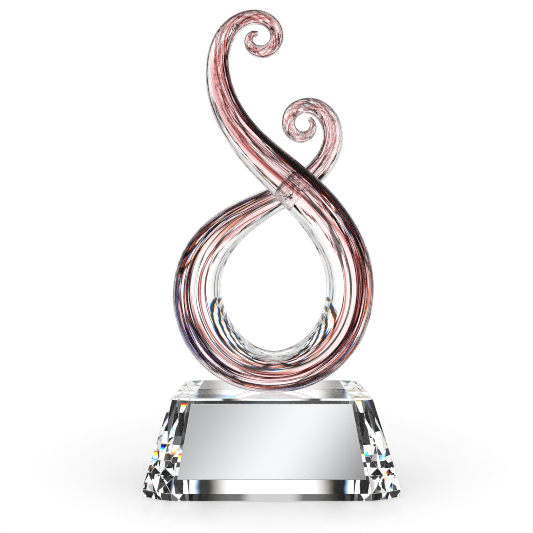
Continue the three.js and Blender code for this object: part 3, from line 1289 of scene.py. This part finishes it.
@dataclass(frozen=True)
class PaleFloor:
    """The pale floor: it keeps the award's shadow and fades to white away from it.

    Attributes:
        half: half its side.
        drop: how far it lies below the base.
        tone: its tone.
        roughness: its roughness.
        ior: its index of refraction.
        shadow_set: how far behind the award the middle of the shadowed patch lies.
        shadow_edge: how far from there the floor starts to whiten, and is white.
        haze: the share of white within the patch.
    """

    half: float = 3.0
    drop: float = 0.0002
    tone: float = 0.93
    roughness: float = 0.12
    ior: float = 1.4
    shadow_set: float = 0.08
    shadow_edge: Span = (0.12, 0.185)
    haze: float = 0.1

    def build(self) -> None:
        """Lays the floor."""
        mesh = bmesh.new()
        add_square(mesh, self.half, Matrix.Translation((0.0, 0.0, -self.drop)))
        material, graph = new_material("pale_floor")
        place = graph.node("ShaderNodeTexCoord", output="Object")
        away = graph.vector_math("SUBTRACT", place, (0.0, self.shadow_set, 0.0))
        reach = graph.node("ShaderNodeVectorMath", {"operation": "LENGTH"}, {0: away}, "Value")
        colour = (self.tone, self.tone, self.tone, 1.0)
        inputs = {"Base Color": colour, "Roughness": self.roughness, "IOR": self.ior}
        lit = graph.node("ShaderNodeBsdfPrincipled", None, inputs)
        white = graph.node("ShaderNodeEmission", None, {"Color": (*WHITE, 1.0), "Strength": 1.0})
        fade = self.haze + (1.0 - self.haze) * reach.rise(*self.shadow_edge)
        shown = graph.mix_shader(graph.ray_is("Camera") * fade, lit, white)
        graph.finish(graph.mix_shader(seen_by_glass(graph), shown, graph.see_through(WHITE)))
        floor = new_object("floor", mesh, material)


@dataclass(frozen=True)
class LitCard:
    """A softly lit card before the award, which only the plate's gloss sees, with a slanting sheen.

    Attributes:
        half: half its side.
        distance: how far before the award it stands.
        middle: the height of its middle.
        sheen_place: a point on the sheen's ridge, across and up.
        sheen_slant: how far the ridge moves across for each step up.
        low: the card's tone to the left of the sheen.
        gain: how much brighter the ridge is.
        loss: how far the tone falls to the right of it.
        gain_edge: how far from the ridge the gain starts and is full.
        loss_edge: how far from it the loss starts and is full.
    """

    half: float = 0.7
    distance: float = 1.0
    middle: float = 0.2
    sheen_place: Span = (0.045, 0.185)
    sheen_slant: float = 0.64
    low: float = 0.46
    gain: float = 1.08
    loss: float = 1.4
    gain_edge: Span = (-0.26, 0.0)
    loss_edge: Span = (-0.01, 0.17)

    def build(self) -> None:
        """Stands the card up."""
        mesh = bmesh.new()
        add_square(mesh, self.half, upright((0.0, -self.distance, self.middle)))
        material, graph = new_material("lit_card")
        across, _, height = graph.node("ShaderNodeTexCoord", output="Object").parts()
        lean = across - self.sheen_place[0] - (height - self.sheen_place[1]) * self.sheen_slant
        tone = self.low + self.gain * lean.rise(*self.gain_edge) - self.loss * lean.rise(*self.loss_edge)
        colour = graph.node("ShaderNodeCombineColor", None, {"Red": tone, "Green": tone, "Blue": tone})
        graph.finish(graph.node("ShaderNodeEmission", None, {"Color": colour, "Strength": 1.0}))
        card = new_object("lit_card", mesh, material)
        card.visible_camera = False
        card.visible_diffuse = False
        card.visible_transmission = False
        card.visible_shadow = False


@dataclass(frozen=True)
class DarkFlags:
    """Small dark flags, low around the base's corners, which only glass sees.

    Attributes:
        reach: how far from the award's middle they stand, before and behind the base and beside it.
        near: how far to either side of it their first columns stand.
        size: the width and height of a flag.
        columns: the columns on each side, of which every second one starts a flag higher.
        rows: the rows that they fill.
        tone: their tone.
    """

    reach: Span = (0.07, 0.1)
    near: float = 0.052
    size: Span = (0.011, 0.017)
    columns: int = 5
    rows: int = 2
    tone: float = 0.01

    def build(self) -> None:
        """Stands the flags up."""
        mesh = bmesh.new()
        width, height = self.size
        shape = Matrix.Diagonal((width, height, 1.0, 1.0))
        for quarter in range(4):
            turn = Matrix.Rotation(quarter * math.pi / 2, 4, "Z")
            for column in range(self.columns):
                for row in range(column % 2, self.rows, 2):
                    for side in (-1, 1):
                        across = side * (self.near + column * width)
                        stand = upright((across, self.reach[quarter % 2], (row + 0.5) * height))
                        add_square(mesh, 0.5, turn @ stand @ shape)
        material, graph = new_material("dark_flag")
        colour = (self.tone, self.tone, self.tone, 1.0)
        graph.finish(graph.node("ShaderNodeEmission", None, {"Color": colour, "Strength": 1.0}))
        flags = new_object("dark_flags", mesh, material)
        flags.visible_camera = False
        flags.visible_diffuse = False
        flags.visible_glossy = False
        flags.visible_shadow = False


@dataclass(frozen=True)
class PanelRoom:
    """The room that only glass and metal see: pale panels with dark gaps, alike on its four walls.

    An edge is where a gap starts and is full. Edges on a wall are cosines of the bearing from its middle,
    or values of a cosine pattern; edges up and down are sines of the elevation, or of the depression below
    the horizon.

    Attributes:
        panel_tone: the tone of the panels.
        gap_tone: the tone of the gaps.
        windows: the windows in each turn of the room.
        rear_edge: the part of a wall nearest its middle.
        check_turn: the checks in each turn of the room.
        check_rise: how closely the checks follow each other upwards.
        below: the belt of checks below the horizon.
        below_edge: how wide that belt is.
        below_check: how much of its checks is dark.
        shade_turn: the shades of that belt in each turn of the room.
        shade_shift: where they start.
        shade_depth: how far they differ.
        above: the belt of checks above the horizon.
        above_edge: how wide it is.
        above_check: how much of its checks is dark.
        above_gap: the windows that it leaves out near a wall's middle.
        lines: how closely the fine lines follow each other upwards, and how far they slant.
        line_edge: how wide the lines are.
        dashes: the belt below the horizon where they show.
        dash_depth: how dark they are.
        under_edge: the depth from which the room darkens downwards.
        under_depth: how dark it gets.
        dusk_edge: the part of a wall near the room's corners that lies in dusk.
        dusk_depth: how dark that is.
        sill: the belt of the sill just above the horizon.
        sill_depth: how dark it is.
        sill_gap: how much lighter it is at a window's middle.
        sill_edge: how wide that lighter piece is.
        bars: the bars on either side of a window.
        bar_top: where they end.
    """

    panel_tone: float = 1.12
    gap_tone: float = 0.01
    windows: float = 8.0
    rear_edge: Span = (0.955, 0.97)
    check_turn: float = 22.0
    check_rise: float = 35.0
    below: Band = ((0.38, 0.4), (0.68, 0.7))
    below_edge: Span = (0.91, 0.93)
    below_check: Span = (-0.45, -0.35)
    shade_turn: float = 31.0
    shade_shift: float = 1.0
    shade_depth: float = 0.1
    above: Band = ((0.33, 0.35), (0.58, 0.6))
    above_edge: Span = (0.86, 0.88)
    above_check: Span = (-0.25, -0.15)
    above_gap: Span = (0.5, 0.65)
    lines: Span = (60.0, 6.0)
    line_edge: Span = (0.1, 0.3)
    dashes: Band = ((0.12, 0.14), (0.46, 0.52))
    dash_depth: float = 0.95
    under_edge: Span = (0.78, 0.9)
    under_depth: float = 0.35
    dusk_edge: Span = (0.76, 0.92)
    dusk_depth: float = 0.3
    sill: Band = ((0.03, 0.04), (0.08, 0.09))
    sill_depth: float = 0.85
    sill_gap: float = 0.45
    sill_edge: Span = (0.93, 0.98)
    bars: Band = ((0.6, 0.66), (0.72, 0.9))
    bar_top: Span = (0.45, 0.5)

    def tone(self, side: Value, height: Value, shift: float) -> Value:
        """The tone of the room in one direction.

        Args:
            side: the bearing from the middle of the nearest wall.
            height: the sine of the elevation.
            shift: how far the fine lines are shifted for this colour of light, in radians of their wave.

        Returns:
            The tone.
        """
        wall = side.cosine()
        depth = 0.0 - height
        swing = (side * self.windows).cosine()
        rear = wall.rise(*self.rear_edge)
        check = (side * self.check_turn).cosine() * (height * self.check_rise).cosine()

        shade = (side * self.shade_turn + self.shade_shift).cosine()
        below = depth.band(self.below) * check.rise(*self.below_check)
        below = below * (1.0 - self.shade_depth + self.shade_depth * shade) * wall.rise(*self.below_edge)
        wide = wall.rise(*self.above_edge) * (1.0 - swing.rise(*self.above_gap) * rear)
        above = height.band(self.above) * wide * (0.0 - check).rise(*self.above_check)
        lines = (height * self.lines[0] + side * self.lines[1] + shift).cosine()
        dashes = depth.band(self.dashes) * lines.rise(*self.line_edge) * self.dash_depth
        under = self.under_depth * depth.rise(*self.under_edge)
        dusk = self.dusk_depth * (1.0 - wall.rise(*self.dusk_edge))
        sill_tone = self.sill_depth - self.sill_gap * swing.rise(*self.sill_edge)
        sill = height.band(self.sill) * rear * sill_tone
        bars = swing.rise(*self.bars[0]) * (1.0 - swing.rise(*self.bars[1]))
        bars = bars * (1.0 - height.rise(*self.bar_top))

        lit = 1.0 - above
        for gap in (below, dashes, under, dusk, sill, bars):
            lit = lit * (1.0 - gap)
        return self.gap_tone + (self.panel_tone - self.gap_tone) * lit


@dataclass
class Studio:
    """The stage, the light around it and the camera.

    Attributes:
        floor: the floor.
        card: the card that the plate mirrors.
        flags: the flags that the base's corners show.
        room: the room that glass and metal see.
        fringe: how far red and blue see the room moved, as a share of the angle.
        line_fringe: how far they see its fine lines shifted, in radians of their wave.
        front_dim: how far the camera's side of the room is dimmed in sharp mirrorings.
        front_edge: where that starts and is full, from the back of the room forwards.
        camera_distance: how far before the award the camera stands.
        camera_height: its height.
        focal_px: its focal length, in pixels.
        axis_px: the column of the award's axis in the image.
        horizon_px: the row of the horizon.
        bounces: the bounces that the glass needs.
        clear_bounces: the bounces that the colour in it needs.
    """

    floor: PaleFloor = PaleFloor()
    card: LitCard = LitCard()
    flags: DarkFlags = DarkFlags()
    room: PanelRoom = PanelRoom()
    fringe: float = 0.007
    line_fringe: float = 0.35
    front_dim: float = 0.85
    front_edge: Span = (-0.8, -0.3)
    camera_distance: float = 0.431
    camera_height: float = 0.1288
    focal_px: float = 670.0
    axis_px: float = 271.6
    horizon_px: float = 277.0
    bounces: int = 40
    clear_bounces: int = 128

    def build(self) -> None:
        """Builds the stage."""
        self.floor.build()
        self.card.build()
        self.flags.build()
        self._world()
        self._camera()
        self._render()

    def _world(self) -> None:
        """Lights the room evenly and shows it white; glass and metal see pale panels and dark gaps.

        Red and blue light see the room slightly moved against green, as glass bends them differently. The
        camera's side of the room is dim in sharp mirrorings, which would veil what shows through the glass.
        """
        world = bpy.data.worlds.new("studio")
        bpy.context.scene.world = world
        graph = ShaderGraph(world)
        east, north, height = graph.node("ShaderNodeTexCoord", output="Generated").parts()
        bearing = graph.node("ShaderNodeMath", {"operation": "ARCTAN2"}, {0: east, 1: north})
        quarter = {0: bearing, 1: math.pi / 4, 2: -math.pi / 4}
        side = graph.node("ShaderNodeMath", {"operation": "WRAP"}, quarter)
        mirrored = graph.ray_is("Singular") * (1.0 - graph.ray_is("Transmission"))
        dim = 1.0 - self.front_dim * mirrored * (0.0 - north).rise(*self.front_edge)
        tones = {}
        for name, way in {"Red": -1.0, "Green": 0.0, "Blue": 1.0}.items():
            bend = 1.0 + self.fringe * way
            tones[name] = self.room.tone(side * bend, height * bend, self.line_fringe * way) * dim
        colour = graph.node("ShaderNodeCombineColor", None, tones)
        panels = graph.node("ShaderNodeBackground", None, {"Color": colour, "Strength": 1.0})
        white = graph.node("ShaderNodeBackground", None, {"Color": (*WHITE, 1.0), "Strength": 1.0})
        graph.finish(graph.mix_shader(seen_by_glass(graph), white, panels), "ShaderNodeOutputWorld")

    def _camera(self) -> None:
        """Stands the camera level in front of the award, where the photograph was taken from."""
        data = bpy.data.cameras.new("camera")
        data.sensor_width = SENSOR_WIDTH
        data.lens = self.focal_px / IMAGE_SIDE * SENSOR_WIDTH
        data.shift_x = (IMAGE_SIDE / 2 - self.axis_px) / IMAGE_SIDE
        data.shift_y = (self.horizon_px - IMAGE_SIDE / 2) / IMAGE_SIDE
        data.clip_start = 0.01
        camera = bpy.data.objects.new("camera", data)
        camera.location = (0.0, -self.camera_distance, self.camera_height)
        camera.rotation_euler = (math.pi / 2, 0.0, 0.0)
        bpy.context.scene.collection.objects.link(camera)
        bpy.context.scene.camera = camera

    def _render(self) -> None:
        """Sets the view and gives the glass enough bounces."""
        scene = bpy.context.scene
        scene.view_settings.view_transform = "Standard"
        scene.cycles.use_denoising = True
        scene.cycles.filter_width = 1.0
        scene.cycles.max_bounces = self.bounces
        scene.cycles.transmission_bounces = self.bounces
        scene.cycles.glossy_bounces = self.bounces
        scene.cycles.transparent_max_bounces = self.clear_bounces


def dress(piece: bpy.types.Object, slot: str, *nodes: str) -> None:
    """Lets a piece ride on the award and stand for its nodes.

    Args:
        piece: the piece.
        slot: the record's material slot; not used.
        nodes: the nodes that it stands for.
    """
    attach(piece, BODY)
    if nodes:
        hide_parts(*nodes)
    LOG.info("%s rides on %s, %d faces", piece.name, BODY, len(piece.data.polygons))


def set_finish(node: bpy.types.Object, material: bpy.types.Material) -> None:
    """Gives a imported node, as it is, a finish of its own."""
    node.data.materials.clear()
    node.data.materials.append(material)
    LOG.info("%s keeps its solid", node.name)


def main() -> None:
    """Builds the award's looks and the studio."""
    logging.basicConfig(level=logging.INFO, format="%(name)s: %(message)s")
    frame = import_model()
    nodes = frame["nodes"]
    Studio().build()

    route = RodRoute(foot_height=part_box("glass_rod")[0].z)
    points = route.points()
    dress(GlassRod(route).build(points), "clear_rod", "glass_rod")
    for bundle in ColourThreads().build(points):
        cane = bundle["cane"]
        slot = "burgundy_cane" if cane % 2 else "rose_cane"
        dress(bundle, slot, f"colour_cane_{cane}")
    dress(CrystalBase(nodes["crystal_base"]).build(), "crystal", "crystal_base")
    dress(EngravingPlate(nodes["engraving_plate"]).build(), "silver_plate", "engraving_plate")
    set_finish(nodes["plate_tape"], PALE_TAPE.material())
    set_finish(nodes["foot_bond"], CLEAR_BOND.material())


if __name__ == "__main__":
    main()
